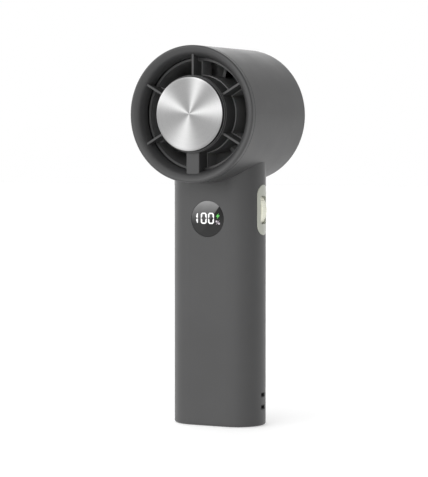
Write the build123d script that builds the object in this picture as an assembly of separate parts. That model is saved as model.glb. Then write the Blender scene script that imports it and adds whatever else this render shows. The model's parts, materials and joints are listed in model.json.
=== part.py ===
from build123d import *
import math
import os

# A hand-held turbo fan with a cooling plate, standing on the foot of its grip.
# Millimetres. +X is the thumb-wheel side, -Y is the front, +Z is up, and the origin is the
# middle of the foot. Head parts are drawn about their own Z axis, which then turns to lie
# along the frame's +Y, so every head "start" and "end" below is a Y value of the frame.

# ---- overall shape
HEAD_R = 37.5  # outside of the barrel
HEAD_Z = 173.2  # height of the air axis
RIM_Y = -36.4  # front edge of the bezel
TAIL_Y = 33.4  # rear edge of the barrel
GRIP_W = 53.6
GRIP_T = 31.3
GRIP_R = GRIP_T / 2
FOOT_GAP = 0.2  # grip edge above the pad's underside
FREE = 0.2  # assembly clearance between fixed parts
RUN = 0.03  # radial clearance of a running fit

# ---- shell
BARREL_WALL = 2.2
BARREL_IN = HEAD_R - BARREL_WALL
GRIP_WALL = 2.0
SEAM_Y = RIM_Y + 3.5  # where the bezel meets the barrel
SEAM_GAP = 0.25
FOOT_EDGE = 1.2
TAIL_EDGE = 1.2
LEDGE_R = 32.4  # inside radius of both ledges in the barrel
FRAME_LEDGE = (8.2, 10.4)
GRILLE_LEDGE = (27.4, 29.2)
WIRE_HOLE = (14.0, 12.0)  # X and Y size of the pass-through to the grip
WIRE_HOLE_Y = -6.0
HEAD_SCREW_X = 8.0
HEAD_SCREW_Y = 4.25
HEAD_SCREW_SEAT = HEAD_Z - 34.9
RIB_Y = (1.5, 7.0)  # cross rib of the grip that takes the head screws
RIB_Z = 132.8
TOUCH = 0.02  # gap between fixed parts that sit on each other

# ---- front grille: bezel, lip, spokes and cooler cup in one moulding
CREST_R = 36.3
LIP = ((34.6, -35.75), (33.0, -34.3), (31.8, -31.9))  # radius and Y down the funnel
LIP_END = (31.0, -27.8)
LIP_WALL = 1.3
SKIRT = (34.0, BARREL_IN - FREE, -29.6)  # plug ring: inner radius, outer radius, end
SPOKES = 6
SPOKE_T = 1.35
SPOKE_Y = (-33.6, -24.2)
SPOKE_ROUND = 0.3  # on the front edges of the spokes
CHANNEL_ROUND = 0.6
SPOKE_GAP = 0.5  # between a spoke's outer end and the duct behind the lip
CHANNEL_W = 8.0  # the bottom spoke is a channel for the cooler's leads
CHANNEL_WALL = 1.2
TUNNEL_W = 5.8
CUP_R = 21.3
CUP_NECK_R = 20.95
CUP_IN = 19.8
CUP_Y = (-36.2, -24.0)
CUP_GROOVE_R = 20.5
CUP_GROOVE_Y = (-35.4, -34.9)
CUP_BREAK = 0.15  # broken edges of the cup
SEAT_R = 20.45
SEAT_Y = -35.5
SEAT_HOLE_R = 17.6

# ---- cooler
PLATE_R = 20.2
PLATE_Y = (-37.8, -36.1)
PLATE_EDGE = 0.25
PLATE_BOSS_R = 17.3
CHIP = 20.0  # side of the square thermoelectric chip
CHIP_Y = (-35.3, -32.1)
CERAMIC = 0.8
PELLET = 1.3
PELLETS_A_SIDE = 7
SINK_R = 17.4
SINK_Y = (-32.1, -29.6)
FIN_END = -17.0
FIN_T = 0.8
FIN_PITCH = 3.0
COOLER_SCREW_R = 13.6  # pitch radius
COOLER_SCREWS = 4

# ---- motor frame
DUCT_R = 29.5
DUCT_WALL = 1.3
DUCT_Y = (-26.6, 12.0)
MOUTH = 1.0  # rounding of the intake edge
FLANGE_T = 1.5
STRUT_T = 2.0
STRUT_Y = (-23.4, -12.5)
HUB_R = 21.8
HUB_WALL = 1.4
HUB_Y = (-23.7, -10.5)
BULKHEAD_T = 1.5
POST_R = 4.0
POST_END = 3.2
POST_BORE = 2.2
BEARING_R = 3.0
BEARING_W = 2.5
FRAME_SCREW_R = 33.75  # pitch radius
FRAME_SCREWS = 3

# ---- rotor
SHAFT_R = 1.5
SHAFT_Y = (-10.2, 5.1)
STATOR_R = 11.6
STATOR_Y = (-8.0, 0.2)
TEETH = 9
TOOTH_W = 2.4
COIL_T = 0.75
MAGNET_R = (12.1, 13.5)
BELL_R = 14.7
BELL_Y = (-9.3, 5.2)
BELL_BACK = 1.2
SLEEVE_R = 16.4
IMP_R = 21.5
IMP_WALL = 1.5
IMP_Y = (-9.9, 6.0)
DOME = 8.0
BLADES = 11
BLADE_TIP = 29.05
BLADE_Y = (-8.8, 6.2)
BLADE_T = (1.6, 1.0)  # at the root and at the tip
BLADE_PITCH = (52.0, 36.0)  # degrees from the airflow, at the tip and at the root

# ---- rear grille
REAR_R = BARREL_IN - FREE
REAR_Y = (29.4, 32.8)
REAR_RIM = 1.6
REAR_BAR = 1.2
REAR_RINGS = 7
REAR_HUB_R = 4.4
REAR_SPOKES = 9
REAR_BREAK = 0.3  # broken rear edges of the rings
SCREEN_R = REAR_R - REAR_RIM - 0.1
SCREEN_Y = (29.25, 29.9)

# ---- display, on the front of the grip
DISPLAY_Z = 115.5
LENS_R = 10.0
LENS_T = 1.1
LENS_LEDGE_R = 9.2
PANEL_R = 8.9

# ---- thumb wheel, on the +X side of the grip
WHEEL_Z = 120.4
WHEEL_R = 12.0
WHEEL_W = 5.6
WHEEL_X = 27.9 - WHEEL_R
WHEEL_RIDGES = 72
RIDGE = 0.22
PIN_R = 1.5
BEZEL = (28.0, 11.2)  # height and width of the stadium plate
BEZEL_PROUD = 0.3
BEZEL_BREAK = 0.2  # rounding of the plate's rim and of its slot
BEZEL_SKIN = 1.4
BEZEL_DEEP = 3.2
SLOT = (15.6, 6.4)
POCKET = (20.4, 8.4)
CHEEK_Y = (3.2, 4.4)
CHEEK_X = (-1.0, 21.0)
CHEEK_H = 10.0
WEB_T = 1.8
BRACKET_Y = (4.7, 5.7)
BRACKET_X = (-6.6, 19.0)
BRACKET_H = 15.0
SWITCH_X = (-5.3, -1.9)
SWITCH_SIDE = 4.6
PLUNGER_R = 1.2

# ---- inside the grip
CELL_R = 10.5
CELL_X = 10.9
CELL_Z = (24.3, 94.3)
TRAY_WALL = 1.4
TRAY_BACK_Y = (10.9, 12.3)
TRAY_BACK_W = 33.0
TRAY_Z = (22.4, 131.0)
TRAY_SHELF_Z = 94.8
BOARD_Y = (-9.6, -8.4)
BOARD_Z = (99.0, 131.0)
BOARD_W = 34.0
BOARD_POSTS = ((-15.0, 101.5), (15.0, 101.5), (-15.0, 128.5))
CAP_Z = (0.8, 3.2)
CAP_SCREW_X = 14.0
PORT_Z = 16.2
PORT = (8.94, 3.2, 7.4)  # width, height and depth of the metal shell
PORT_MOUTH = (9.6, 3.9)
CHARGE_BOARD = (18.0, 20.0, 1.2)
LOOP_Z = (10.5, 17.4)
LOOP_HOLE = (4.4, 2.7, 0.5)  # width, height and corner radius of each hole
LOOP_SLEEVE = 0.5  # wall of the dark sleeve that lines each hole
LOOP_SINK = 0.25  # the sleeves stop this far under the skin
LEAD_R = 0.5
LEAD_BEND = 1.6
LEAD_RUN_Z = HEAD_Z - 33.65  # between the duct and the foot of the barrel
COOLER_LEAD_X = (-2.25, 2.25)
MOTOR_LEAD_X = (-1.1, 0.0, 1.1)
MOTOR_LEAD_DROP = 9.0  # below the air axis, where the leads leave the motor
BATTERY_LEAD_X = (-2.6, 2.6)


def rod(radius, start, end):
    """A cylinder along Z between two heights."""
    return Pos(0, 0, start) * Cylinder(radius, end - start, align=(Align.CENTER, Align.CENTER, Align.MIN))


def tube(outer, inner, start, end):
    return rod(outer, start, end) - rod(inner, start - 1, end + 1)


def about(middle, size):
    """The range of a given size about a middle value."""
    return (middle - size / 2, middle + size / 2)


def block(x, y, z):
    """A box from its three ranges."""
    size = (x[1] - x[0], y[1] - y[0], z[1] - z[0])
    middle = Pos((x[0] + x[1]) / 2, (y[0] + y[1]) / 2, (z[0] + z[1]) / 2)
    return middle * Box(*size)


def prism(sketch, start, end):
    return extrude(Pos(0, 0, start) * sketch, end - start)


def side_prism(sketch, start, end, height):
    """Extrude a sketch, whose first axis is Y and second is Z, along +X."""
    return extrude(Plane.YZ.offset(start) * Pos(0, height) * sketch, end - start)


def front_rod(radius, start, end, x, z):
    """A cylinder along Y between two Y values."""
    return Pos(x, start, z) * Rot(-90, 0, 0) * rod(radius, 0, end - start)


def side_rod(radius, start, end, y, z):
    """A cylinder along X between two X values."""
    return Pos(start, y, z) * Rot(0, 90, 0) * rod(radius, 0, end - start)


def grip_solid(shrink, start, end):
    """The grip's rounded outline, moved in by shrink, between two heights."""
    return prism(SlotOverall(GRIP_W - 2 * shrink, GRIP_T - 2 * shrink), start, end)


def on_head(part):
    """Turn a part drawn about Z to lie on the air axis. Its local +Y then points down."""
    return Pos(0, 0, HEAD_Z) * Rot(-90, 0, 0) * part


def around(part, count, first=0.0):
    """Copies of a part turned evenly about Z."""
    return [Rot(0, 0, first + k * 360 / count) * part for k in range(count)]


def fused(parts):
    whole = parts[0]
    for piece in parts[1:]:
        whole = whole + piece
    return whole


def turned(points):
    """Revolve a closed outline of (radius, height) points about Z."""
    outline = Polyline(*[(r, 0, h) for r, h in points], close=True)
    return revolve(make_face(outline), Axis.Z)


def screw(head_r, head_h, shank_r, length):
    """A cross-head screw with its head above Z 0 and its shank below."""
    body = rod(head_r, 0, head_h) + rod(shank_r, -length, 0)
    recess = block((-head_r * 0.6, head_r * 0.6), (-0.2, 0.2), (head_h * 0.5, head_h + 1))
    return body - recess - Rot(0, 0, 90) * recess


def lead(x, route):
    """One insulated wire at a fixed X along a route of (y, z) points with rounded turns."""
    path = FilletPolyline(*[(x, y, z) for y, z in route], radius=LEAD_BEND)
    start = Plane(origin=path @ 0, z_dir=path % 0)
    return sweep(start * Circle(LEAD_R), path=path)


# ---------------------------------------------------------------- shell and bottom


def barrel():
    """The head's tube with its two ledges, the wire hole and the seats of the head screws."""
    tube_part = rod(HEAD_R, SEAM_Y + SEAM_GAP, TAIL_Y)
    tube_part = fillet(tube_part.edges().group_by(Axis.Z)[-1], TAIL_EDGE)
    tube_part = chamfer(tube_part.edges().group_by(Axis.Z)[0], SEAM_GAP)
    tube_part -= rod(BARREL_IN, RIM_Y, TAIL_Y + 1)
    for start, end in (FRAME_LEDGE, GRILLE_LEDGE):
        tube_part += tube(BARREL_IN + 1, LEDGE_R, start, end)
    pilot = Pos(FRAME_SCREW_R, 0, 0) * rod(0.8, FRAME_LEDGE[0] - 1, FRAME_LEDGE[1] + 1)
    for hole in around(pilot, FRAME_SCREWS, 30):
        tube_part -= hole
    head = on_head(tube_part)
    through_wall = about(HEAD_Z - HEAD_R, 12)
    head -= block(about(0, WIRE_HOLE[0]), about(WIRE_HOLE_Y, WIRE_HOLE[1]), through_wall)
    for x in (-HEAD_SCREW_X, HEAD_SCREW_X):
        seat = rod(2.1, HEAD_SCREW_SEAT, HEAD_SCREW_SEAT + 4)
        head -= Pos(x, HEAD_SCREW_Y, 0) * (seat + rod(1.05, HEAD_SCREW_SEAT - 4, HEAD_SCREW_SEAT + 1))
    return head


def grip_shell():
    """The hollow grip, open at the foot and closed at the top by the barrel that rests on it."""
    head = on_head(rod(HEAD_R + TOUCH, RIM_Y, TAIL_Y))
    grip = grip_solid(0, FOOT_GAP, HEAD_Z)
    grip = fillet(grip.edges().group_by(Axis.Z)[0], FOOT_EDGE)
    shell = grip - grip_solid(GRIP_WALL, -1, HEAD_Z + 1)
    rib = block((-GRIP_W / 2, GRIP_W / 2), RIB_Y, (RIB_Z, HEAD_Z)) & grip_solid(GRIP_WALL / 2, RIB_Z, HEAD_Z)
    shell = shell + rib - head
    for x in (-HEAD_SCREW_X, HEAD_SCREW_X):
        shell -= Pos(x, HEAD_SCREW_Y, 0) * rod(0.98, RIB_Z - 1, HEAD_SCREW_SEAT)
    shell -= front_rod(LENS_R + 0.1, -GRIP_R - 1, -GRIP_R + LENS_T + 0.1, 0, DISPLAY_Z)
    shell -= front_rod(LENS_LEDGE_R, -GRIP_R - 1, -GRIP_R + GRIP_WALL + 1, 0, DISPLAY_Z)
    shell -= side_prism(SlotOverall(BEZEL[0] + 0.2, BEZEL[1] + 0.2, rotation=90), 15, GRIP_W, WHEEL_Z)
    shell -= extrude(Plane.XZ.offset(-GRIP_R - 1) * Pos(0, PORT_Z) * SlotOverall(*PORT_MOUTH), 5)
    for z in LOOP_Z:
        shell -= side_prism(RectangleRounded(*LOOP_HOLE), 20, GRIP_W, z)
    return shell


def head_screws():
    one = screw(1.9, 1.2, 0.95, 5.2)
    return [Pos(x, HEAD_SCREW_Y, HEAD_SCREW_SEAT) * one for x in (-HEAD_SCREW_X, HEAD_SCREW_X)]


def bottom_cap():
    cap = grip_solid(GRIP_WALL + 0.1, CAP_Z[0], CAP_Z[1])
    rim = grip_solid(GRIP_WALL + 0.1, CAP_Z[1], CAP_Z[1] + 2) - grip_solid(GRIP_WALL + 1.3, 0, 9)
    cap = cap + rim
    for x in (-CAP_SCREW_X, CAP_SCREW_X):
        cap -= Pos(x, 0, 0) * (rod(1.15, 0, 9) + rod(2.1, 0, CAP_Z[0] + 1.4))
    return cap


def cap_screws():
    one = Rot(180, 0, 0) * screw(1.95, 1.2, 0.95, 6.5)
    return [Pos(x, 0, CAP_Z[0] + 1.35) * one for x in (-CAP_SCREW_X, CAP_SCREW_X)]


def base_pad():
    return grip_solid(GRIP_WALL + 0.5, 0, CAP_Z[0] - 0.05)


# ---------------------------------------------------------------- front of the head


def bezel_ring():
    """The rim, its funnel-shaped lip and the plug ring that enters the barrel."""
    nose_r = HEAD_R - CREST_R
    side = Line((HEAD_R, 0, SEAM_Y), (HEAD_R, 0, RIM_Y + nose_r))
    nose_middle = (CREST_R + nose_r * math.sqrt(0.5), 0, RIM_Y + nose_r * (1 - math.sqrt(0.5)))
    nose = ThreePointArc(side @ 1, nose_middle, (CREST_R, 0, RIM_Y))
    lip_points = [(r, 0, y) for r, y in ((CREST_R, RIM_Y),) + LIP + (LIP_END,)]
    lip = Spline(*lip_points, tangents=[(-1, 0, 0.1), (-0.1, 0, 1)])
    back = Polyline(
        (LIP_END[0], 0, LIP_END[1]),
        (LIP_END[0] + LIP_WALL, 0, LIP_END[1]),
        (LIP[-1][0] + LIP_WALL, 0, LIP[-1][1]),
        (SKIRT[0], 0, SEAM_Y + 0.9),
        (SKIRT[0], 0, SKIRT[2]),
        (SKIRT[1], 0, SKIRT[2]),
        (SKIRT[1], 0, SEAM_Y),
        (HEAD_R, 0, SEAM_Y),
    )
    return revolve(make_face([side, nose, lip, back]), Axis.Z)


def spoke(width, rounding):
    """A radial plate along +X with rounded front edges, whose outer end is buried in the lip."""
    outline = [
        (CUP_R - 0.6, SPOKE_Y[0]),
        (LIP[1][0] + 0.5, SPOKE_Y[0]),
        (LIP_END[0] + 0.7, LIP_END[1] - 0.5),
        (DUCT_R - SPOKE_GAP, LIP_END[1]),
        (DUCT_R - SPOKE_GAP, SPOKE_Y[1]),
        (CUP_R - 0.6, SPOKE_Y[1]),
    ]
    face = make_face(Polyline(*[(r, -width / 2, h) for r, h in outline], close=True))
    plate = extrude(face, width, dir=(0, 1, 0))
    return fillet(plate.edges().filter_by(Axis.X).group_by(Axis.Z)[0], rounding)


def front_grille():
    cup = turned([
        (SEAT_HOLE_R, SEAT_Y),
        (SEAT_R, SEAT_Y),
        (SEAT_R, CUP_Y[0]),
        (CUP_NECK_R - CUP_BREAK, CUP_Y[0]),
        (CUP_NECK_R, CUP_Y[0] + CUP_BREAK),
        (CUP_NECK_R, CUP_GROOVE_Y[0]),
        (CUP_GROOVE_R, CUP_GROOVE_Y[0]),
        (CUP_GROOVE_R, CUP_GROOVE_Y[1]),
        (CUP_R - CUP_BREAK, CUP_GROOVE_Y[1]),
        (CUP_R, CUP_GROOVE_Y[1] + CUP_BREAK),
        (CUP_R, CUP_Y[1] - CUP_BREAK),
        (CUP_R - CUP_BREAK, CUP_Y[1]),
        (CUP_IN, CUP_Y[1]),
        (CUP_IN, SEAT_Y + 1.0),
        (SEAT_HOLE_R, SEAT_Y + 1.0),
    ])
    plates = around(spoke(SPOKE_T, SPOKE_ROUND), SPOKES, 30)
    thin = [plates[k] for k in range(SPOKES) if k != 1]
    channel = Rot(0, 0, 90) * spoke(CHANNEL_W, CHANNEL_ROUND)
    grille = fused([bezel_ring(), cup, channel] + thin)
    tunnel = block(about(0, TUNNEL_W), (CUP_IN - 2, SKIRT[0]), (SPOKE_Y[0] + CHANNEL_WALL, SPOKE_Y[1] + 3))
    return on_head(grille - tunnel)


def cooling_plate():
    plate = rod(PLATE_R, *PLATE_Y)
    plate = chamfer(plate.edges().group_by(Axis.Z)[0], PLATE_EDGE)
    plate += rod(PLATE_BOSS_R, PLATE_Y[1], CHIP_Y[0])
    hole = Pos(COOLER_SCREW_R, 0, 0) * rod(1.0, PLATE_Y[1] - 1.0, CHIP_Y[0] + 1)
    for one in around(hole, COOLER_SCREWS):
        plate -= one
    return on_head(plate)


def square(side, start, end):
    return block(about(0, side), about(0, side), (start, end))


def cooling_chip():
    """Two ceramic plates with a grid of pellets between them."""
    chip = square(CHIP, CHIP_Y[0], CHIP_Y[0] + CERAMIC)
    chip += square(CHIP, CHIP_Y[1] - CERAMIC, CHIP_Y[1])
    pitch = (CHIP - 2 * PELLET) / (PELLETS_A_SIDE - 1)
    middle = (PELLETS_A_SIDE - 1) / 2
    for i in range(PELLETS_A_SIDE):
        for j in range(PELLETS_A_SIDE):
            pellet = square(PELLET, CHIP_Y[0] + CERAMIC, CHIP_Y[1] - CERAMIC)
            chip += Pos((i - middle) * pitch, (j - middle) * pitch, 0) * pellet
    return on_head(chip)


def insulation_ring():
    start, end = CHIP_Y[0] + 0.8, CHIP_Y[1] - 0.1
    ring = rod(CUP_IN - 0.3, start, end) - square(CHIP + 0.6, start - 1, end + 1)
    ring -= block(about(0, TUNNEL_W), (CHIP / 2 - 1, CUP_IN), (start - 1, end + 1))
    hole = Pos(COOLER_SCREW_R, 0, 0) * rod(1.4, start - 1, end + 1)
    for one in around(hole, COOLER_SCREWS):
        ring -= one
    return on_head(ring)


def heat_sink():
    sink = rod(SINK_R, *SINK_Y)
    count = int(SINK_R / FIN_PITCH)
    for k in range(-count, count + 1):
        x = k * FIN_PITCH
        half = math.sqrt(SINK_R**2 - x**2) - 0.6
        sink += block(about(x, FIN_T), (-half, half), (SINK_Y[1], FIN_END))
    hole = Pos(COOLER_SCREW_R, 0, 0) * rod(1.1, SINK_Y[0] - 1, SINK_Y[1] + 1)
    driver = Pos(COOLER_SCREW_R, 0, 0) * rod(2.4, SINK_Y[1], FIN_END + 1)
    for one in around(hole, COOLER_SCREWS) + around(driver, COOLER_SCREWS):
        sink -= one
    return on_head(sink)


def cooler_screws():
    one = Pos(COOLER_SCREW_R, 0, SINK_Y[1]) * screw(1.9, 1.3, 0.95, 7.2)
    return [on_head(piece) for piece in around(one, COOLER_SCREWS)]


# ---------------------------------------------------------------- motor


def strut(width):
    return block((HUB_R - 0.7, DUCT_R + 0.5), about(0, width), STRUT_Y)


def frame_holes():
    hole = Pos(FRAME_SCREW_R, 0, 0) * rod(0.9, DUCT_Y[0], DUCT_Y[1] + 1)
    return around(hole, FRAME_SCREWS, 30)


def motor_frame():
    """The duct, its six struts and the hub that carries the motor's post."""
    duct = tube(DUCT_R + DUCT_WALL, DUCT_R, *DUCT_Y)
    flange = tube(REAR_R, DUCT_R, DUCT_Y[1] - FLANGE_T, DUCT_Y[1])
    duct = duct + flange
    mouth = duct.edges().filter_by(GeomType.CIRCLE).group_by(Axis.Z)[-1].sort_by(SortBy.RADIUS)[0]
    duct = fillet(mouth, MOUTH)
    hub = tube(HUB_R, HUB_R - HUB_WALL, *HUB_Y)
    hub += rod(HUB_R - 0.5, HUB_Y[1] - BULKHEAD_T, HUB_Y[1])
    hub += rod(POST_R, HUB_Y[1], POST_END)
    plates = around(strut(STRUT_T), SPOKES, 30)
    thin = [plates[k] for k in range(SPOKES) if k != 1]
    frame = fused([duct, hub, Rot(0, 0, 90) * strut(CHANNEL_W)] + thin)
    frame -= rod(POST_BORE, HUB_Y[0], POST_END + 1)
    bearing_bore = BEARING_R + 0.02
    frame -= rod(bearing_bore, *front_bearing_span()) + rod(bearing_bore, POST_END - BEARING_W, POST_END + 1)
    tunnel_span = (STRUT_Y[0] + CHANNEL_WALL, STRUT_Y[1] - CHANNEL_WALL)
    frame -= block(about(0, TUNNEL_W), (HUB_R - 2, DUCT_R + 3), tunnel_span)
    frame -= block(about(0, TUNNEL_W), about(MOTOR_LEAD_DROP, 3.2), (HUB_Y[1] - 3, HUB_Y[1] + 1))
    for one in frame_holes():
        frame -= one
    return on_head(frame)


def front_bearing_span():
    start = HUB_Y[1] - BULKHEAD_T - 0.5
    return (start, start + BEARING_W + 0.5)


def bearings():
    one = tube(BEARING_R, SHAFT_R + RUN, 0, BEARING_W)
    one = chamfer(one.edges().filter_by(GeomType.CIRCLE), 0.15)
    spans = (front_bearing_span()[1] - BEARING_W, POST_END - BEARING_W)
    return [on_head(Pos(0, 0, start) * one) for start in spans]


def frame_screws():
    one = Pos(FRAME_SCREW_R, 0, DUCT_Y[1]) * screw(1.25, 1.0, 0.72, 3.4)
    return [on_head(piece) for piece in around(one, FRAME_SCREWS, 30)]


def stator_core():
    core = tube(POST_R + 2.2, POST_R + 0.05, *STATOR_Y)
    tooth = block((POST_R + 1.5, STATOR_R - 0.8), about(0, TOOTH_W), STATOR_Y)
    shoe = tube(STATOR_R, STATOR_R - 1.0, *STATOR_Y)
    gap = block((STATOR_R - 2, STATOR_R + 1), about(0, 1.2), (STATOR_Y[0] - 1, STATOR_Y[1] + 1))
    for one in around(gap, TEETH, 180 / TEETH):
        shoe -= one
    return on_head(fused([core, shoe] + around(tooth, TEETH)))


def stator_coils():
    """A rectangular loop of wire round each tooth."""
    length = STATOR_Y[1] - STATOR_Y[0]
    middle = (STATOR_Y[0] + STATOR_Y[1]) / 2
    reach = (POST_R + 2.6, STATOR_R - 1.3)
    outer = block(reach, about(0, TOOTH_W + 2 * COIL_T), about(middle, length + 2 * COIL_T))
    inner = block((0, STATOR_R), about(0, TOOTH_W + 0.1), about(middle, length + 0.1))
    return [on_head(piece) for piece in around(outer - inner, TEETH)]


def rotor_bell():
    bell = rod(BELL_R, *BELL_Y) - rod(MAGNET_R[1] + 0.01, BELL_Y[0] - 1, BELL_Y[1] - BELL_BACK)
    bell -= rod(SHAFT_R + 0.01, BELL_Y[0], BELL_Y[1] + 1)
    return on_head(bell)


def rotor_magnet():
    return on_head(tube(MAGNET_R[1], MAGNET_R[0], STATOR_Y[0] - 0.6, STATOR_Y[1] + 0.6))


def motor_shaft():
    return on_head(rod(SHAFT_R, *SHAFT_Y))


def dome(radius, start, rise):
    """A cylinder's end rounded to half an ellipse, as a (radius, height) outline to the axis."""
    steps = 12
    angles = [k * math.pi / 2 / steps for k in range(steps + 1)]
    return [(radius * math.cos(a), start + rise * math.sin(a)) for a in angles]


def blade():
    """One twisted blade, before it is trimmed to the hub and the tip circle."""
    span = (IMP_R - 6, BLADE_TIP + 1.5)
    chord = (BLADE_Y[1] - BLADE_Y[0]) * 1.7
    sections = []
    for height, thickness, pitch in zip(span, BLADE_T, reversed(BLADE_PITCH)):
        plane = Plane(origin=(0, 0, height), x_dir=(0, 1, 0), z_dir=(0, 0, 1))
        sections.append(plane * Rot(0, 0, pitch) * Rectangle(chord, thickness))
    flat = loft(sections, ruled=True)
    middle = (BLADE_Y[0] + BLADE_Y[1]) / 2
    return Pos(0, 0, middle) * Rot(90, 0, 0) * flat


def impeller():
    outside = dome(IMP_R, IMP_Y[1], DOME)
    inside = dome(IMP_R - IMP_WALL, IMP_Y[1] - 1.0, DOME - 0.6)
    hub = turned([(IMP_R, IMP_Y[0])] + outside + list(reversed(inside)) + [(IMP_R - IMP_WALL, IMP_Y[0])])
    hub += tube(SLEEVE_R, BELL_R + 0.02, IMP_Y[0] + 1.2, 9.8)
    hub += rod(5.0, BELL_Y[1] + 0.05, IMP_Y[1] + DOME - 0.9)
    band = tube(BLADE_TIP, IMP_R - 0.6, *BLADE_Y)
    wheel = fused([hub] + [piece & band for piece in around(blade(), BLADES)])
    return on_head(wheel)


def rear_ring(inner, width, start):
    """One ring of the rear grille with both rear edges broken."""
    outer = inner + width
    back = REAR_Y[1]
    return turned([
        (inner, start),
        (outer, start),
        (outer, back - REAR_BREAK),
        (outer - REAR_BREAK, back),
        (inner + REAR_BREAK, back),
        (inner, back - REAR_BREAK),
    ])


def rear_grille():
    """A rim and a centre button with evenly spaced rings between them, held by radial bars."""
    grille = rear_ring(REAR_R - REAR_RIM, REAR_RIM, REAR_Y[0])
    button = rod(REAR_HUB_R, REAR_Y[0] + 1.0, REAR_Y[1])
    grille += fillet(button.edges().group_by(Axis.Z)[-1], REAR_BREAK * 2)
    open_width = REAR_R - REAR_RIM - REAR_HUB_R - REAR_RINGS * REAR_BAR
    gap = open_width / (REAR_RINGS + 1)
    for k in range(REAR_RINGS):
        inner = REAR_HUB_R + gap + k * (gap + REAR_BAR)
        grille += rear_ring(inner, REAR_BAR, REAR_Y[0] + 1.2)
    bar = block((REAR_HUB_R - 1, REAR_R - 1), about(0, REAR_BAR), (REAR_Y[0] + 0.6, REAR_Y[1] - 0.3))
    return on_head(fused([grille] + around(bar, REAR_SPOKES)))


def dust_screen():
    """A fine woven screen in front of the rear grille, drawn as a plain disc."""
    return on_head(rod(SCREEN_R, *SCREEN_Y))


# ---------------------------------------------------------------- display


def display_lens():
    lens = front_rod(LENS_R, -GRIP_R, -GRIP_R + LENS_T, 0, DISPLAY_Z)
    return chamfer(lens.edges().group_by(Axis.Y)[0], 0.15)


def display_panel():
    return front_rod(PANEL_R, -GRIP_R + LENS_T + 0.2, BOARD_Y[0] - 0.02, 0, DISPLAY_Z)


# ---------------------------------------------------------------- thumb wheel


def stadium(size):
    return SlotOverall(size[0], size[1], rotation=90)


def wheel_bezel():
    plate = side_prism(stadium(BEZEL), 15, GRIP_W, WHEEL_Z)
    plate &= grip_solid(-BEZEL_PROUD, 90, 150) - grip_solid(BEZEL_DEEP, 80, 160)
    plate -= side_prism(RectangleRounded(SLOT[1], SLOT[0], 1.6), 15, GRIP_W, WHEEL_Z)
    pocket = side_prism(Rectangle(POCKET[1], POCKET[0]), 15, GRIP_W, WHEEL_Z)
    plate -= pocket & grip_solid(BEZEL_SKIN - BEZEL_PROUD, 90, 150)
    skin = plate.faces().sort_by(Axis.X)[-1]
    return fillet(skin.edges(), BEZEL_BREAK)


def on_wheel(part):
    """Turn a part drawn about Z to lie on the wheel's axis."""
    return Pos(WHEEL_X, 0, WHEEL_Z) * Rot(-90, 0, 0) * part


def thumb_wheel():
    points = []
    for k in range(2 * WHEEL_RIDGES):
        angle = k * math.pi / WHEEL_RIDGES
        radius = WHEEL_R - RIDGE * (k % 2)
        points.append((radius * math.cos(angle), radius * math.sin(angle)))
    ridged = extrude(Pos(0, 0, -WHEEL_W / 2) * make_face(Polyline(*points, close=True)), WHEEL_W)
    edge = rod(WHEEL_R, -WHEEL_W / 2, WHEEL_W / 2)
    edge = chamfer(edge.edges().filter_by(GeomType.CIRCLE), 0.6)
    wheel = (ridged & edge) - rod(PIN_R + RUN, -WHEEL_W, WHEEL_W)
    wheel -= tube(4.6, 2.4, -WHEEL_W / 2 - 1, -WHEEL_W / 2 + 1.6)
    return on_wheel(wheel)


def wheel_magnet():
    return on_wheel(tube(4.55, 2.45, -WHEEL_W / 2 + 0.1, -WHEEL_W / 2 + 1.6))


def wheel_pin():
    return on_wheel(rod(PIN_R, -CHEEK_Y[1], CHEEK_Y[1]))


def wheel_carrier():
    """A yoke whose two cheeks hold the pin and whose web pushes the switch."""
    yoke = block(CHEEK_X, (-CHEEK_Y[1], CHEEK_Y[1]), about(WHEEL_Z, CHEEK_H))
    yoke -= block((CHEEK_X[0] + WEB_T, GRIP_W), (-CHEEK_Y[0], CHEEK_Y[0]), about(WHEEL_Z, CHEEK_H + 2))
    return yoke - on_wheel(rod(PIN_R + 0.01, -9, 9))


def switch_plunger():
    return side_rod(PLUNGER_R, -4.0, CHEEK_X[0], 0, WHEEL_Z)


def push_switch():
    body = block(SWITCH_X, about(0, SWITCH_SIDE), about(WHEEL_Z, SWITCH_SIDE))
    return body - side_rod(PLUNGER_R + 0.05, -4.9, 0, 0, WHEEL_Z)


def wheel_bracket():
    """A fixed channel that guides the carrier, holds the switch and stands on the board."""
    frame = block(BRACKET_X, (-BRACKET_Y[1], BRACKET_Y[1]), about(WHEEL_Z, BRACKET_H))
    frame -= block((SWITCH_X[0], GRIP_W), (-BRACKET_Y[0], BRACKET_Y[0]), about(WHEEL_Z, BRACKET_H + 2))
    frame -= front_rod(3.6, -9, 9, WHEEL_X, WHEEL_Z)
    for x in (BRACKET_X[0] + 2.5, WHEEL_X - 8):
        frame += front_rod(1.6, BOARD_Y[1], -BRACKET_Y[1] + 0.5, x, WHEEL_Z + 5)
    return frame


def wheel_sensor():
    return block(about(WHEEL_X, 2.6), (BOARD_Y[1], BOARD_Y[1] + 1.5), about(WHEEL_Z, 3.0))


# ---------------------------------------------------------------- inside the grip


def battery_cells():
    body = rod(CELL_R, *CELL_Z)
    body = fillet(body.edges().filter_by(GeomType.CIRCLE), 0.8)
    return {"battery_cell_left": Pos(-CELL_X, 0, 0) * body, "battery_cell_right": Pos(CELL_X, 0, 0) * body}


def cell_strips():
    span = (-CELL_X - 4, CELL_X + 4)
    return [block(span, (-3, 3), (CELL_Z[0] - 0.3, CELL_Z[0] - 0.05)),
            block(span, (-3, 3), (CELL_Z[1] + 0.05, CELL_Z[1] + 0.3))]


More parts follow.
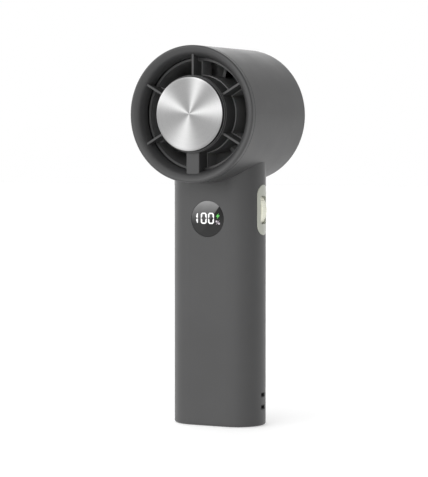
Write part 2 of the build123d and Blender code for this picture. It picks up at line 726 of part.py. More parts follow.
def battery_tray():
    """A back plate with two shelves around the cells and posts for the board."""
    tray = block(about(0, TRAY_BACK_W), TRAY_BACK_Y, TRAY_Z)
    tray += grip_solid(GRIP_WALL + 0.4, TRAY_Z[0], TRAY_Z[0] + TRAY_WALL)
    shelf = grip_solid(GRIP_WALL + 0.4, TRAY_SHELF_Z, TRAY_SHELF_Z + TRAY_WALL)
    tray += shelf - block(about(0, 8), (-9, 4), (TRAY_SHELF_Z - 1, TRAY_SHELF_Z + 3))
    for x in (-CAP_SCREW_X, CAP_SCREW_X):
        tray += Pos(x, 0, 0) * tube(2.6, 0.98, CAP_Z[1] + 0.3, TRAY_Z[0] + 0.5)
    for x, z in BOARD_POSTS:
        tray += front_rod(2.2, BOARD_Y[1] + 0.02, TRAY_BACK_Y[0] + 0.5, x, z)
        tray -= front_rod(0.8, BOARD_Y[0] - 1, BOARD_Y[1] + 7, x, z)
    return tray


def main_board():
    board = block(about(0, BOARD_W), BOARD_Y, BOARD_Z)
    for x, z in BOARD_POSTS:
        board -= front_rod(1.0, BOARD_Y[0] - 1, BOARD_Y[1] + 1, x, z)
    return board


def board_screws():
    one = Rot(90, 0, 0) * screw(1.5, 1.0, 0.75, 6)
    return [Pos(x, BOARD_Y[0], z) * one for x, z in BOARD_POSTS]


def board_chips():
    """Controller, driver, inductor and connector on the rear face of the board."""
    face = BOARD_Y[1]
    chips = [
        block((-12.5, -7.5), (face, face + 1.0), (112, 117)),
        block((-12.0, -8.0), (face, face + 0.9), (120, 124)),
        block((-12.0, -6.0), (face, face + 2.8), (102, 108)),
        block((4.0, 11.0), (face, face + 3.2), (100.5, 104.5)),
    ]
    return chips


def charge_board():
    width, depth, thick = CHARGE_BOARD
    top = PORT_Z - PORT[1] / 2 - 0.02
    end = GRIP_R - GRIP_WALL - 0.3
    return block(about(0, width), (end - depth, end), (top - thick, top))


def charge_port():
    """A reversible charging socket: metal shell, closed at the back, with its tongue."""
    width, height, depth = PORT
    mouth = GRIP_R - 0.7
    plane = Plane.XZ.offset(-mouth)
    outer = extrude(plane * Pos(0, PORT_Z) * SlotOverall(width, height), depth)
    inner = extrude(plane * Pos(0, PORT_Z) * SlotOverall(width - 0.6, height - 0.6), depth - 0.8)
    tongue = block(about(0, 6.6), (mouth - depth + 0.5, mouth - 1.4), about(PORT_Z, 0.7))
    return (outer - inner) + tongue


def loop_insert():
    """The closed pocket behind the two lanyard holes, with a sleeve into each of them."""
    width, height, corner = LOOP_HOLE
    box = block((19.6, 24.0), (-3.2, 3.2), (LOOP_Z[0] - 3.2, LOOP_Z[1] + 3.2))
    insert = box & grip_solid(GRIP_WALL + 0.05, 0, 40)
    sleeve = RectangleRounded(width - 0.1, height - 0.1, corner - 0.05)
    skin = grip_solid(LOOP_SINK, 0, 40)
    for z in LOOP_Z:
        insert += side_prism(sleeve, 23, GRIP_W, z) & skin
    hollow = block((20.8, 24.2), (-2.0, 2.0), (LOOP_Z[0] - 2.0, LOOP_Z[1] + 2.0))
    insert -= hollow & grip_solid(GRIP_WALL + 0.9, 0, 40)
    mouth = RectangleRounded(width - 0.1 - 2 * LOOP_SLEEVE, height - 0.1 - 2 * LOOP_SLEEVE, 0.3)
    for z in LOOP_Z:
        insert -= side_prism(mouth, 21, GRIP_W, z)
    return insert


def cooler_leads():
    chip_mid = (CHIP_Y[0] + CHIP_Y[1]) / 2
    drop = HEAD_Z - (SINK_R + CUP_IN) / 2
    tunnel_mid = SINK_Y[1]
    route = [
        (chip_mid, HEAD_Z - CHIP / 2 - 0.4),
        (chip_mid, drop),
        (tunnel_mid, drop),
        (tunnel_mid, LEAD_RUN_Z),
        (-3.0, LEAD_RUN_Z),
        (-3.0, BOARD_Z[1] - 2),
    ]
    return [lead(x, route) for x in COOLER_LEAD_X]


def motor_leads():
    hub_mid = -15.0
    start = HEAD_Z - MOTOR_LEAD_DROP
    route = [
        (STATOR_Y[0] - 1.4, start),
        (hub_mid, start),
        (hub_mid, LEAD_RUN_Z),
        (-8.0, LEAD_RUN_Z),
        (-8.0, BOARD_Z[1] + 1.0),
    ]
    return [lead(x, route) for x in MOTOR_LEAD_X]


def battery_leads():
    route = [
        (-2.0, CELL_Z[1] + 0.9),
        (-2.0, 103.0),
        (BOARD_Y[1] + 0.9, 103.0),
    ]
    return [lead(x, route) for x in BATTERY_LEAD_X]


# ---------------------------------------------------------------- export

PARTS = {
    "barrel": barrel(),
    "grip_shell": grip_shell(),
    "head_screws": head_screws(),
    "bottom_cap": bottom_cap(),
    "cap_screws": cap_screws(),
    "base_pad": base_pad(),
    "front_grille": front_grille(),
    "cooling_plate": cooling_plate(),
    "cooling_chip": cooling_chip(),
    "insulation_ring": insulation_ring(),
    "heat_sink": heat_sink(),
    "cooler_screws": cooler_screws(),
    "motor_frame": motor_frame(),
    "frame_screws": frame_screws(),
    "motor_bearings": bearings(),
    "stator_core": stator_core(),
    "stator_coils": stator_coils(),
    "rotor_bell": rotor_bell(),
    "rotor_magnet": rotor_magnet(),
    "motor_shaft": motor_shaft(),
    "impeller": impeller(),
    "rear_grille": rear_grille(),
    "dust_screen": dust_screen(),
    "display_lens": display_lens(),
    "display_panel": display_panel(),
    "wheel_bezel": wheel_bezel(),
    "thumb_wheel": thumb_wheel(),
    "wheel_magnet": wheel_magnet(),
    "wheel_pin": wheel_pin(),
    "wheel_carrier": wheel_carrier(),
    "switch_plunger": switch_plunger(),
    "push_switch": push_switch(),
    "wheel_bracket": wheel_bracket(),
    "wheel_sensor": wheel_sensor(),
    "cell_strips": cell_strips(),
    "battery_tray": battery_tray(),
    "main_board": main_board(),
    "board_screws": board_screws(),
    "board_chips": board_chips(),
    "charge_board": charge_board(),
    "charge_port": charge_port(),
    "loop_insert": loop_insert(),
    "cooler_leads": cooler_leads(),
    "motor_leads": motor_leads(),
    "battery_leads": battery_leads(),
}
PARTS.update(battery_cells())

os.makedirs("parts", exist_ok=True)
for name, shape in PARTS.items():
    if isinstance(shape, list):
        shape = Compound(children=shape)
    export_step(shape, f"parts/{name}.step")
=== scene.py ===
import json
import math

import bmesh
import bpy
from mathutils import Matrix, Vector


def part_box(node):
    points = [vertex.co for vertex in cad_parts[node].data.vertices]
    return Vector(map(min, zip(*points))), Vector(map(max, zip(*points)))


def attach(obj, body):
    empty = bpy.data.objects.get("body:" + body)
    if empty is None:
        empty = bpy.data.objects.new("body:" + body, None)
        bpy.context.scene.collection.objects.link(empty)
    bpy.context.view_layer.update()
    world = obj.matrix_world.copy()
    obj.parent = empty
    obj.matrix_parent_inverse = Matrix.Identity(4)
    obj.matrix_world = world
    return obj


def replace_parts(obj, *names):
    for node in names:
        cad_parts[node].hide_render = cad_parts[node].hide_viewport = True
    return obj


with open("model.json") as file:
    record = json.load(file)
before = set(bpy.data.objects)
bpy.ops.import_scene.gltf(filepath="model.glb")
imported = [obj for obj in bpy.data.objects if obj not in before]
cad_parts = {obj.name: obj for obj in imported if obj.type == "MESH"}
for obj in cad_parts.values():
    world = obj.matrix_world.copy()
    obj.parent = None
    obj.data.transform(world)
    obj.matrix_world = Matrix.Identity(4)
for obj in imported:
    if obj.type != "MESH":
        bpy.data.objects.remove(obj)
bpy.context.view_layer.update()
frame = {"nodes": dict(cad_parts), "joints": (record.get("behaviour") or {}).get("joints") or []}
NODES = frame["nodes"]
MM = 0.001

# ---------------------------------------------------------------- places read from the frame

JOINTS = {joint["name"]: joint for joint in frame["joints"]}
AXIS = Vector(JOINTS["impeller_spin"]["pos_m"])  # on the air axis


def middle_of(node):
    low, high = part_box(node)
    return (low + high) / 2


# ---------------------------------------------------------------- colours and finishes

GREY = (0.045, 0.045, 0.0455)
LIP_GREY = (0.0415, 0.0415, 0.042)
INNER = (0.17, 0.17, 0.171)  # painted light: much lighter than the shell's grey so that it shows in the shaded depth of the duct
DARK = (0.075, 0.075, 0.076)
BLACK = (0.008, 0.008, 0.008)
IVORY = (0.38, 0.39, 0.335)
CREAM = (0.8, 0.8, 0.67)


class Look:
    """A Principled material and short ways to add nodes to it."""

    def __init__(self, name, **settings):
        self.material = bpy.data.materials.new(name)
        self.material.use_nodes = True
        self.tree = self.material.node_tree
        self.shader = self.tree.nodes["Principled BSDF"]
        for key, value in settings.items():
            self.shader.inputs[key.replace("_", " ")].default_value = value
        self.place = self.node("ShaderNodeTexCoord").outputs["Object"]

    def node(self, kind, **settings):
        made = self.tree.nodes.new(kind)
        for key, value in settings.items():
            setattr(made, key, value)
        return made

    def link(self, source, target):
        self.tree.links.new(source, target)

    def socket(self, name, source):
        self.link(source, self.shader.inputs[name])

    def noise(self, scale, detail=2.0, rough=0.5, place=None, stretch=None):
        texture = self.node("ShaderNodeTexNoise")
        texture.inputs["Scale"].default_value = scale
        texture.inputs["Detail"].default_value = detail
        texture.inputs["Roughness"].default_value = rough
        place = place or self.place
        if stretch:
            mapping = self.node("ShaderNodeMapping")
            mapping.inputs["Scale"].default_value = stretch
            self.link(place, mapping.inputs["Vector"])
            place = mapping.outputs["Vector"]
        self.link(place, texture.inputs["Vector"])
        return texture.outputs["Fac"]

    def ramp(self, source, stops, interpolation="LINEAR"):
        """stops are (position, colour or grey value)."""
        ramp = self.node("ShaderNodeValToRGB")
        ramp.color_ramp.interpolation = interpolation
        elements = ramp.color_ramp.elements
        while len(elements) < len(stops):
            elements.new(0.5)
        for element, (position, colour) in zip(elements, stops):
            element.position = position
            if not isinstance(colour, (tuple, list)):
                colour = (colour, colour, colour)
            element.color = (*colour, 1)
        self.link(source, ramp.inputs["Fac"])
        return ramp.outputs["Color"]

    def math(self, operation, a, b=0.0, c=0.0):
        made = self.node("ShaderNodeMath", operation=operation)
        for index, value in enumerate((a, b, c)):
            if isinstance(value, (int, float)):
                made.inputs[index].default_value = value
            else:
                self.link(value, made.inputs[index])
        return made.outputs["Value"]

    def mix(self, factor, a, b, blend="MIX"):
        made = self.node("ShaderNodeMix", data_type="RGBA", blend_type=blend)
        for socket, value in ((made.inputs[0], factor), (made.inputs[6], a), (made.inputs[7], b)):
            if isinstance(value, (int, float)):
                socket.default_value = value
            elif isinstance(value, tuple):
                socket.default_value = (*value, 1)
            else:
                self.link(value, socket)
        return made.outputs[2]

    def bump(self, height, distance, strength=1.0, under=None):
        made = self.node("ShaderNodeBump")
        made.inputs["Distance"].default_value = distance
        made.inputs["Strength"].default_value = strength
        self.link(height, made.inputs["Height"])
        if under is not None:
            self.link(under, made.inputs["Normal"])
        return made.outputs["Normal"]


def plastic(name, colour, rough=0.42, spread=0.06, grain=2600, depth=0.012 * MM, gloss=0.5):
    """Moulded plastic: a fine spark-eroded grain, slow colour drift and uneven gloss."""
    look = Look(name, Specular_IOR_Level=gloss)
    drift = look.noise(28, 3.0)
    light = tuple(c * (1 + spread) for c in colour)
    dark = tuple(c * (1 - spread) for c in colour)
    look.socket("Base Color", look.ramp(drift, [(0.3, dark), (0.7, light)]))
    patches = look.noise(90, 4.0)
    look.socket("Roughness", look.ramp(patches, [(0.25, rough - 0.025), (0.75, rough + 0.025)]))
    fine = look.noise(grain, 2.0, 0.6)
    look.socket("Normal", look.bump(fine, depth))
    return look


def metal(name, colour, rough=0.3, stretch=(1, 1, 1), grain=900, depth=0.006 * MM):
    """Turned, drawn or plated metal with fine working marks."""
    look = Look(name, Metallic=1.0)
    drift = look.noise(60, 3.0)
    look.socket("Base Color", look.ramp(drift, [(0.3, tuple(c * 0.9 for c in colour)), (0.7, colour)]))
    lines = look.noise(grain, 3.0, 0.6, stretch=stretch)
    look.socket("Roughness", look.ramp(lines, [(0.2, rough - 0.08), (0.8, rough + 0.08)]))
    look.socket("Normal", look.bump(lines, depth))
    return look


def ivory(name, colour, sheen):
    """Pearly plastic that brightens where it turns away."""
    look = plastic(name, colour, 0.36, 0.04, 1800, 0.006 * MM)
    look.shader.inputs["Sheen Weight"].default_value = sheen
    look.shader.inputs["Sheen Roughness"].default_value = 0.35
    look.shader.inputs["Coat Weight"].default_value = 0.2
    look.shader.inputs["Coat Roughness"].default_value = 0.2
    return look


def bezel_ivory():
    """The ivory, with painted shade going dark down the walls of the wheel's slot."""
    look = ivory("ivory_bezel", IVORY, 0.6)
    colour = look.shader.inputs["Base Color"].links[0].from_socket
    split = look.node("ShaderNodeSeparateXYZ")
    look.link(look.place, split.inputs["Vector"])
    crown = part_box("wheel_bezel")[1].x
    low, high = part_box("grip_shell")
    bend = high.y - low.y  # twice the radius of the rounded side
    fall = look.math("MULTIPLY_ADD", look.math("POWER", split.outputs["Y"], 2.0), -1 / bend / MM, crown / MM)
    depth = look.math("MULTIPLY_ADD", split.outputs["X"], -1 / MM, fall)
    across = look.math("MULTIPLY_ADD", split.outputs["Y"], 1 / (4 * MM), 0.5)
    far_wall = look.ramp(across, [(0.6, 0.0), (0.85, 1.0)])
    # painted shade: darker with depth into the slot, except on the far wall
    shade = look.math("MAXIMUM", look.ramp(depth, [(0.35, 1.0), (0.9, 0.03)]), far_wall)
    look.socket("Base Color", look.mix(shade, (0, 0, 0), colour))
    return look


def woven(name, colour, pitch):
    """Fine cloth: two sets of threads crossing, each hiding the other in turn."""
    look = Look(name, Specular_IOR_Level=0.3)
    threads = []
    for direction in ("X", "Z"):
        wave = look.node("ShaderNodeTexWave", wave_type="BANDS", bands_direction=direction)
        wave.inputs["Scale"].default_value = 2 * math.pi / (20 * pitch)
        wave.inputs["Distortion"].default_value = 0.4
        wave.inputs["Detail Scale"].default_value = 3
        look.link(look.place, wave.inputs["Vector"])
        threads.append(wave.outputs["Fac"])
    height = look.math("MAXIMUM", *threads)
    look.socket("Base Color", look.ramp(height, [(0.35, tuple(c * 0.15 for c in colour)), (0.9, colour)]))
    look.socket("Roughness", look.ramp(look.noise(700, 3.0), [(0.3, 0.7), (0.7, 0.9)]))
    look.socket("Normal", look.bump(height, 0.12 * MM))
    return look


def duct_plastic():
    """The duct's plastic, with painted shade making its front edge as dark as the lip that it meets."""
    look = plastic("duct_plastic", INNER)
    colour = look.shader.inputs["Base Color"].links[0].from_socket
    split = look.node("ShaderNodeSeparateXYZ")
    look.link(look.place, split.inputs["Vector"])
    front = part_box("motor_frame")[0].y
    inside = look.math("MULTIPLY_ADD", split.outputs["Y"], 1 / MM, -front / MM)
    # painted shade: darker towards the duct's front edge
    look.socket("Base Color", look.mix(look.ramp(inside, [(0.1, 0.25), (0.6, 1.0)]), (0, 0, 0), colour))
    return look


def give(look, *names):
    """Put one material on CAD nodes."""
    for name in names:
        piece = NODES[name]
        piece.data.materials.clear()
        piece.data.materials.append(look.material)


give(plastic("shell_plastic", GREY), "barrel", "grip_shell")
give(plastic("grille_plastic", LIP_GREY), "front_grille", "rear_grille")
give(duct_plastic(), "motor_frame")
# painted light: the blades' grey is much lighter than the shell's so that they show in the shaded depth of
# the duct
give(plastic("blade_plastic", (0.2, 0.2, 0.2)), "impeller")
give(plastic("dark_plastic", DARK), "display_panel")
give(plastic("black_plastic", BLACK, 0.6), "loop_insert", "wheel_bracket", "wheel_carrier")
give(plastic("cap_plastic", (0.05, 0.05, 0.05)), "bottom_cap", "battery_tray")
give(bezel_ivory(), "wheel_bezel")
give(ivory("ivory_wheel", CREAM, 0.15), "thumb_wheel")
give(plastic("pad_rubber", (0.02, 0.02, 0.02), 0.7), "base_pad")
give(plastic("foam", (0.04, 0.04, 0.045), 0.9), "insulation_ring")
give(woven("screen_cloth", (0.05, 0.05, 0.052), 0.55 * MM), "dust_screen")
give(plastic("ceramic", (0.8, 0.8, 0.78), 0.3), "cooling_chip")
give(
    plastic("switch_black", (0.015, 0.015, 0.016)),
    "push_switch", "switch_plunger", "wheel_sensor", "board_chips",
)
give(plastic("cell_wrap", (0.05, 0.22, 0.3), 0.3), "battery_cell_left", "battery_cell_right")
give(plastic("board_green", (0.02, 0.12, 0.05), 0.3), "main_board", "charge_board")
give(plastic("lead_red", (0.45, 0.03, 0.03), 0.5), "cooler_leads", "battery_leads")
give(plastic("lead_black", (0.02, 0.02, 0.02), 0.5), "motor_leads")
give(metal("plate_metal", (0.6, 0.6, 0.6)), "cooling_plate")
give(metal("sink_aluminium", (0.68, 0.69, 0.7)), "heat_sink")
give(
    metal("screw_steel", (0.5, 0.5, 0.51)),
    "head_screws", "cap_screws", "cooler_screws", "frame_screws", "board_screws",
)
give(metal("bearing_steel", (0.7, 0.7, 0.72), 0.15), "motor_bearings", "motor_shaft", "wheel_pin")
give(metal("lamination", (0.4, 0.4, 0.41), 0.4), "stator_core", "rotor_bell")
give(metal("copper", (0.72, 0.38, 0.2), 0.25), "stator_coils")
give(metal("magnet", (0.35, 0.35, 0.37), 0.25), "rotor_magnet", "wheel_magnet")
give(metal("nickel", (0.66, 0.65, 0.62), 0.25), "cell_strips", "charge_port")

# ---------------------------------------------------------------- shapes


def add_mesh(name, bm, look, body, smooth=True):
    """Turn a bmesh into a piece that rides on a body and takes a material slot's finish."""
    bmesh.ops.recalc_face_normals(bm, faces=bm.faces)
    mesh = bpy.data.meshes.new(name)
    bm.to_mesh(mesh)
    bm.free()
    for face in mesh.polygons:
        face.use_smooth = smooth
    piece = bpy.data.objects.new(name, mesh)
    bpy.context.scene.collection.objects.link(piece)
    piece.data.materials.append(look.material)
    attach(piece, body)
    return piece


def soften(piece, width, segments=2, angle=30):
    """Round the sharp edges with a bevel, and shade the rest smooth."""
    bevel = piece.modifiers.new("edges", "BEVEL")
    bevel.width = width
    bevel.segments = segments
    bevel.limit_method = "ANGLE"
    bevel.angle_limit = math.radians(angle)
    bevel.harden_normals = True
    return piece


def lathe(name, profile, centre, steps, look, body):
    """Turn a closed outline of (radius, y) points about an axis along Y."""
    bm = bmesh.new()
    rings = []
    for k in range(steps):
        angle = 2 * math.pi * k / steps
        across = Vector((math.cos(angle), 0, math.sin(angle)))
        rings.append([bm.verts.new(centre + across * r + Vector((0, y, 0))) for r, y in profile])
    count = len(profile)
    for k in range(steps):
        here, there = rings[k], rings[(k + 1) % steps]
        for i in range(count):
            j = (i + 1) % count
            bm.faces.new((here[i], here[j], there[j], there[i]))
    bmesh.ops.remove_doubles(bm, verts=bm.verts, dist=1e-7)
    return add_mesh(name, bm, look, body)


def plate_on_front(name, outlines, centre, front, thickness, look, body, edge):
    """Flat pieces from (x, z) outlines on a face that looks along -Y, with softened edges."""
    bm = bmesh.new()
    for outline in outlines:
        lower = [bm.verts.new((centre.x + x, front - thickness, centre.z + z)) for x, z in outline]
        upper = [bm.verts.new((centre.x + x, front + 0.05 * MM, centre.z + z)) for x, z in outline]
        bm.faces.new(lower)
        bm.faces.new(list(reversed(upper)))
        for i in range(len(outline)):
            j = (i + 1) % len(outline)
            bm.faces.new((lower[j], lower[i], upper[i], upper[j]))
    piece = add_mesh(name, bm, look, body, smooth=False)
    return soften(piece, edge, 1)


# ---------------------------------------------------------------- cooling plate


PLAIN_SHINE = 0.225  # the metal's base colour between the painted glints
# painted glints: angle from the wheel side going up, width in degrees, strength
PAINTED_GLINTS = [(10, 18, 0.3), (73, 14, 0.285), (152, 17, 0.3), (255, 27, 0.285)]


def spun_metal():
    """Metal turned on a lathe: fine rings all over and a little real anisotropic shine; the fan-shaped
    glints are painted into its colour by angle.
    """
    look = Look("spun_plate", Metallic=1.0, Anisotropic=0.4)
    centre = middle_of("cooling_plate")
    shift = look.node("ShaderNodeVectorMath", operation="SUBTRACT")
    look.link(look.place, shift.inputs[0])
    shift.inputs[1].default_value = centre
    level = look.node("ShaderNodeVectorMath", operation="MULTIPLY")
    level.inputs[1].default_value = (1, 0, 1)
    look.link(shift.outputs["Vector"], level.inputs[0])
    outward = look.node("ShaderNodeVectorMath", operation="NORMALIZE")
    look.link(level.outputs["Vector"], outward.inputs[0])
    # painted glints: lobes of brightness by angle around the plate's centre, added to the plain colour
    glints = PLAIN_SHINE
    for angle, width, strength in PAINTED_GLINTS:
        dot = look.node("ShaderNodeVectorMath", operation="DOT_PRODUCT")
        dot.inputs[1].default_value = (math.cos(math.radians(angle)), 0, math.sin(math.radians(angle)))
        look.link(outward.outputs["Vector"], dot.inputs[0])
        sharp = 2 / math.radians(width) ** 2
        fade = look.math("EXPONENT", look.math("MULTIPLY_ADD", dot.outputs["Value"], sharp, -sharp))
        glints = look.math("MULTIPLY_ADD", fade, strength, glints)
    flat = look.node("ShaderNodeVectorMath", operation="LENGTH")
    look.link(level.outputs["Vector"], flat.inputs[0])
    rings = look.node("ShaderNodeTexNoise", noise_dimensions="1D")
    rings.inputs["Scale"].default_value = 5200
    rings.inputs["Detail"].default_value = 4
    look.link(flat.outputs["Value"], rings.inputs["W"])
    streak = look.ramp(rings.outputs["Fac"], [(0.3, 0.95), (0.7, 1.0)])
    # the painted glints, times the turning rings, make the base colour
    look.socket("Base Color", look.mix(1.0, glints, streak, "MULTIPLY"))
    look.socket("Roughness", look.ramp(rings.outputs["Fac"], [(0.25, 0.26), (0.75, 0.36)]))
    look.socket("Normal", look.bump(rings.outputs["Fac"], 0.004 * MM))
    tangent = look.node("ShaderNodeTangent", direction_type="RADIAL", axis="Y")
    look.link(tangent.outputs["Tangent"], look.shader.inputs["Tangent"])
    return look


def cooling_plate():
    low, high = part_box("cooling_plate")
    outer = (high.x - low.x) / 2
    face, back = low.y, low.y + 1.7 * MM
    centre = Vector((AXIS.x, 0, AXIS.z))
    rounding = 0.3 * MM
    profile = [(0.0, face + 0.06 * MM)]
    rings = 40
    for k in range(1, rings + 1):
        r = (outer - 1.4 * MM) * k / rings
        profile.append((r, face + 0.06 * MM * (1 - (k / rings) ** 2)))
    profile += [(outer - 1.2 * MM, face), (outer - rounding, face)]
    for k in range(1, 6):
        a = math.radians(18 * k)
        profile.append((outer - rounding * (1 - math.sin(a)), face + rounding * (1 - math.cos(a))))
    profile += [(outer, back), (0.0, back)]
    return lathe("plate_spun", profile, centre, 192, spun_metal(), "shell")


# ---------------------------------------------------------------- display


def half_zero(left, right, middle, end, gap=0.14, side=0.86, bar=0.74, corner=0.85):
    """The upper half of a segment 0, or the lower half when end is below the middle."""
    up = 1 if end > middle else -1
    foot = middle + up * gap
    return [
        (left, foot),
        (left, end - up * corner),
        (left + corner, end),
        (right - corner, end),
        (right, end - up * corner),
        (right, foot),
        (right - 0.35, foot),
        (right - side, foot + up * 0.75),
        (right - side, end - up * (bar + 0.25)),
        (right - side - 0.25, end - up * bar),
        (left + side + 0.25, end - up * bar),
        (left + side, end - up * (bar + 0.25)),
        (left + side, foot + up * 0.75),
        (left + 0.35, foot),
    ]


def half_one(right, middle, end, gap=0.2):
    up = 1 if end > middle else -1
    foot = middle + up * gap
    return [
        (right, foot),
        (right, end - up * 0.1),
        (right - 0.35, end),
        (right - 0.65, end - up * 0.5),
        (right - 1.1, foot + up * 0.75),
        (right - 0.85, foot + up * 0.2),
    ]


def disc_outline(x, z, radius, steps=20):
    angles = [2 * math.pi * k / steps for k in range(steps)]
    return [(x + radius * math.cos(a), z + radius * math.sin(a)) for a in angles]


def glow(name, colour, strength, rough=0.4):
    """A lit segment, a little uneven."""
    look = Look(name, Roughness=rough, Emission_Strength=strength)
    uneven = look.noise(900, 2.0)
    dim = tuple(c * 0.9 for c in colour)
    cover = tuple(c * 0.5 for c in colour)
    dim_cover = tuple(c * 0.4 for c in dim)
    look.socket("Emission Color", look.ramp(uneven, [(0.3, dim), (0.7, colour)]))
    look.socket("Base Color", look.ramp(uneven, [(0.3, dim_cover), (0.7, cover)]))
    look.socket("Normal", look.bump(uneven, 0.004 * MM))
    return look


def display():
    low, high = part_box("display_lens")
    centre = (low + high) / 2
    front = low.y

    def scaled(outline):
        return [(x * MM, z * MM) for x, z in outline]

    middle = 0.33
    white = [
        half_one(-5.95, middle, 3.1),
        half_one(-5.95, middle, -2.35),
        half_zero(-4.1, -0.5, middle, 3.42),
        half_zero(-4.1, -0.5, middle, -2.78),
        half_zero(0.38, 4.02, middle, 3.42),
        half_zero(0.38, 4.02, middle, -2.78),
    ]
    depth, edge = 0.06 * MM, 0.02 * MM
    body, slot = "shell", "smoked_lens"
    plate_on_front("display_digits", [scaled(o) for o in white], centre, front, depth,
                   glow("glow_white", (1.0, 1.0, 1.0), 0.7), body, edge)
    bolt = [(0.55, 1.85), (-1.4, -0.35), (-0.25, -0.35), (-0.6, -1.85), (1.45, 0.5), (0.25, 0.5)]
    bolt = [(6.4 + 0.85 * x, 1.6 + 0.85 * z) for x, z in bolt]
    plate_on_front("display_bolt", [scaled(bolt)], centre, front, depth,
                   glow("glow_green", (0.1, 0.55, 0.08), 0.75), body, edge)
    slash = [(5.45, -2.95), (5.7, -2.95), (7.3, -0.85), (7.05, -0.85)]
    percent = [disc_outline(5.6, -1.35, 0.58), disc_outline(7.15, -2.5, 0.58), slash]
    plate_on_front("display_percent", [scaled(o) for o in percent], centre, front, depth,
                   glow("glow_dim", (0.5, 0.45, 0.5), 0.8), body, edge)


# painted reflection: share of the window's height and the painted brightness there, left and right of the
# sheen's edge
PAINTED_SHEEN = [(0.0, 0.03), (0.36, 0.035), (0.5, 0.07), (0.7, 0.13), (0.85, 0.21), (1.0, 0.32)]
SHADE = [(0.0, 0.03), (0.35, 0.028), (0.65, 0.016), (1.0, 0.014)]
WINDOW_HEIGHT = 20 * MM
EDGE_LEAN = 0.733  # how far the edge runs sideways for each unit that it climbs
EDGE_CROSSING = 1.8 * MM  # where it crosses the window's middle height
EDGE_SOFTNESS = 0.5 * MM


def smoked_lens():
    """Dark glossy window with a slanting sheen painted into its colour as a reflection, under its real
    gloss.
    """
    look = Look("smoked_lens", Specular_IOR_Level=0.12)
    centre = middle_of("display_lens")
    split = look.node("ShaderNodeSeparateXYZ")
    look.link(look.place, split.inputs["Vector"])
    across = look.math("SUBTRACT", split.outputs["X"], centre.x)
    height = look.math("SUBTRACT", split.outputs["Z"], centre.z)
    share = look.math("MULTIPLY_ADD", height, 1 / WINDOW_HEIGHT, 0.5)
    # painted reflection: a sheen that brightens towards the top of the window
    sheen = look.ramp(share, PAINTED_SHEEN)
    edge = look.math("MULTIPLY_ADD", height, -EDGE_LEAN, across)
    side = look.math("MULTIPLY_ADD", edge, 1 / EDGE_SOFTNESS, -EDGE_CROSSING / EDGE_SOFTNESS)
    clear = look.ramp(side, [(0.0, 1.0), (1.0, 0.0)])
    # painted reflection: the sheen left of the slanting edge, painted shade right of it
    painted_reflection = look.mix(clear, look.ramp(share, SHADE), sheen)
    cloud = look.ramp(look.noise(160, 3.0), [(0.3, 0.92), (0.7, 1.05)])
    look.socket("Base Color", look.mix(1.0, painted_reflection, cloud, "MULTIPLY"))
    look.socket("Roughness", look.ramp(look.noise(500, 3.0), [(0.3, 0.09), (0.7, 0.14)]))
    look.socket("Normal", look.bump(look.noise(2400, 2.0), 0.0008 * MM))
    return look


# ---------------------------------------------------------------- camera

AZIMUTH = math.radians(26.63)
ELEVATION = math.radians(2.63)
DISTANCE = 1.1433
AIM = Vector((-0.00379, 0, 0.10389))
FOCAL_LENGTH = 153.55  # millimetres
SENSOR = 36

back = Vector((
    math.sin(AZIMUTH) * math.cos(ELEVATION),
    -math.cos(AZIMUTH) * math.cos(ELEVATION),
    math.sin(ELEVATION),
))
camera = bpy.data.objects.new("camera", bpy.data.cameras.new("camera"))
camera.data.lens = FOCAL_LENGTH
camera.data.sensor_width = SENSOR
camera.location = AIM + back * DISTANCE
camera.rotation_mode = "QUATERNION"
camera.rotation_quaternion = (-back).to_track_quat("-Z", "Y")
bpy.context.scene.collection.objects.link(camera)
bpy.context.scene.camera = camera

# ---------------------------------------------------------------- studio


SKY = 0.24  # even light from all round
FLOOR_GLOW = 0.4  # keeps the paper white and its shadow faint

# name, azimuth (0 at the front, 90 on the wheel side), elevation, width in degrees, strength
LAMPS = [
    ("high_front", 0, 60, 22, 1.4),
    ("high_left", -90, 55, 24, 0.65),
    ("front", 10, 15, 22, 2.4),
    ("front_left", -35, 15, 22, 2.6),
    ("left", -80, 12, 22, 1.1),
    ("back_left", -130, 8, 24, 2.2),
    ("front_right", 55, 15, 20, 0.9),
    ("right_rear", 130, 8, 18, 1.0),
    ("back_right", 160, 8, 18, 0.3),
    ("back", -165, 8, 22, 2.2),
]


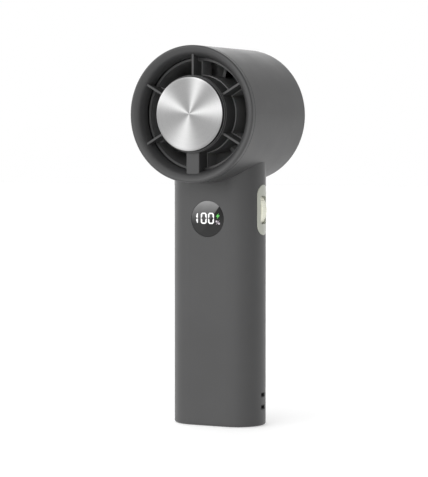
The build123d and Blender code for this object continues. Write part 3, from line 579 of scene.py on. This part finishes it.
def studio_world(base):
    """Soft lamps all round as smooth spots on the sky. The camera itself sees plain white."""
    world = bpy.data.worlds.new("studio")
    bpy.context.scene.world = world
    world.use_nodes = True
    tree = world.node_tree
    nodes, links = tree.nodes, tree.links

    def math_node(operation, a, b=0.0, c=0.0):
        made = nodes.new("ShaderNodeMath")
        made.operation = operation
        for index, value in enumerate((a, b, c)):
            if isinstance(value, (int, float)):
                made.inputs[index].default_value = value
            else:
                links.new(value, made.inputs[index])
        return made.outputs[0]

    direction = nodes.new("ShaderNodeTexCoord").outputs["Generated"]
    total = math_node("ADD", base, 0.0)
    total.node.label = "base"
    for name, azimuth, elevation, width, strength in LAMPS:
        az, el = math.radians(azimuth), math.radians(elevation)
        dot = nodes.new("ShaderNodeVectorMath")
        dot.operation = "DOT_PRODUCT"
        dot.inputs[1].default_value = (
            math.sin(az) * math.cos(el),
            -math.cos(az) * math.cos(el),
            math.sin(el),
        )
        links.new(direction, dot.inputs[0])
        sharp = 1 / (1 - math.cos(math.radians(width)))
        fade = math_node("EXPONENT", math_node("MULTIPLY_ADD", dot.outputs["Value"], sharp, -sharp))
        total = math_node("MULTIPLY_ADD", fade, strength, total)
        total.node.label = name
    path = nodes.new("ShaderNodeLightPath")
    choose = nodes.new("ShaderNodeMix")
    choose.data_type = "FLOAT"
    links.new(path.outputs["Is Camera Ray"], choose.inputs[0])
    links.new(total, choose.inputs[2])
    choose.inputs[3].default_value = 1.0
    links.new(choose.outputs[0], nodes["Background"].inputs["Strength"])
    nodes["Background"].inputs["Color"].default_value = (1, 1, 1, 1)


def floor():
    mesh = bpy.data.meshes.new("floor")
    half = 6.0
    corners = [(-half, -half, 0), (half, -half, 0), (half, half, 0), (-half, half, 0)]
    mesh.from_pydata(corners, [], [(0, 1, 2, 3)])
    made = bpy.data.objects.new("floor", mesh)
    bpy.context.scene.collection.objects.link(made)
    look = Look("floor_paper", Roughness=0.9, Emission_Strength=FLOOR_GLOW)
    look.shader.inputs["Emission Color"].default_value = (1, 1, 1, 1)
    look.socket("Base Color", look.ramp(look.noise(3, 3.0), [(0.3, 0.78), (0.7, 0.82)]))
    made.data.materials.append(look.material)


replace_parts(cooling_plate(), "cooling_plate")
give(smoked_lens(), "display_lens")
display()
studio_world(SKY)
floor()
bpy.context.scene.view_settings.view_transform = "Standard"
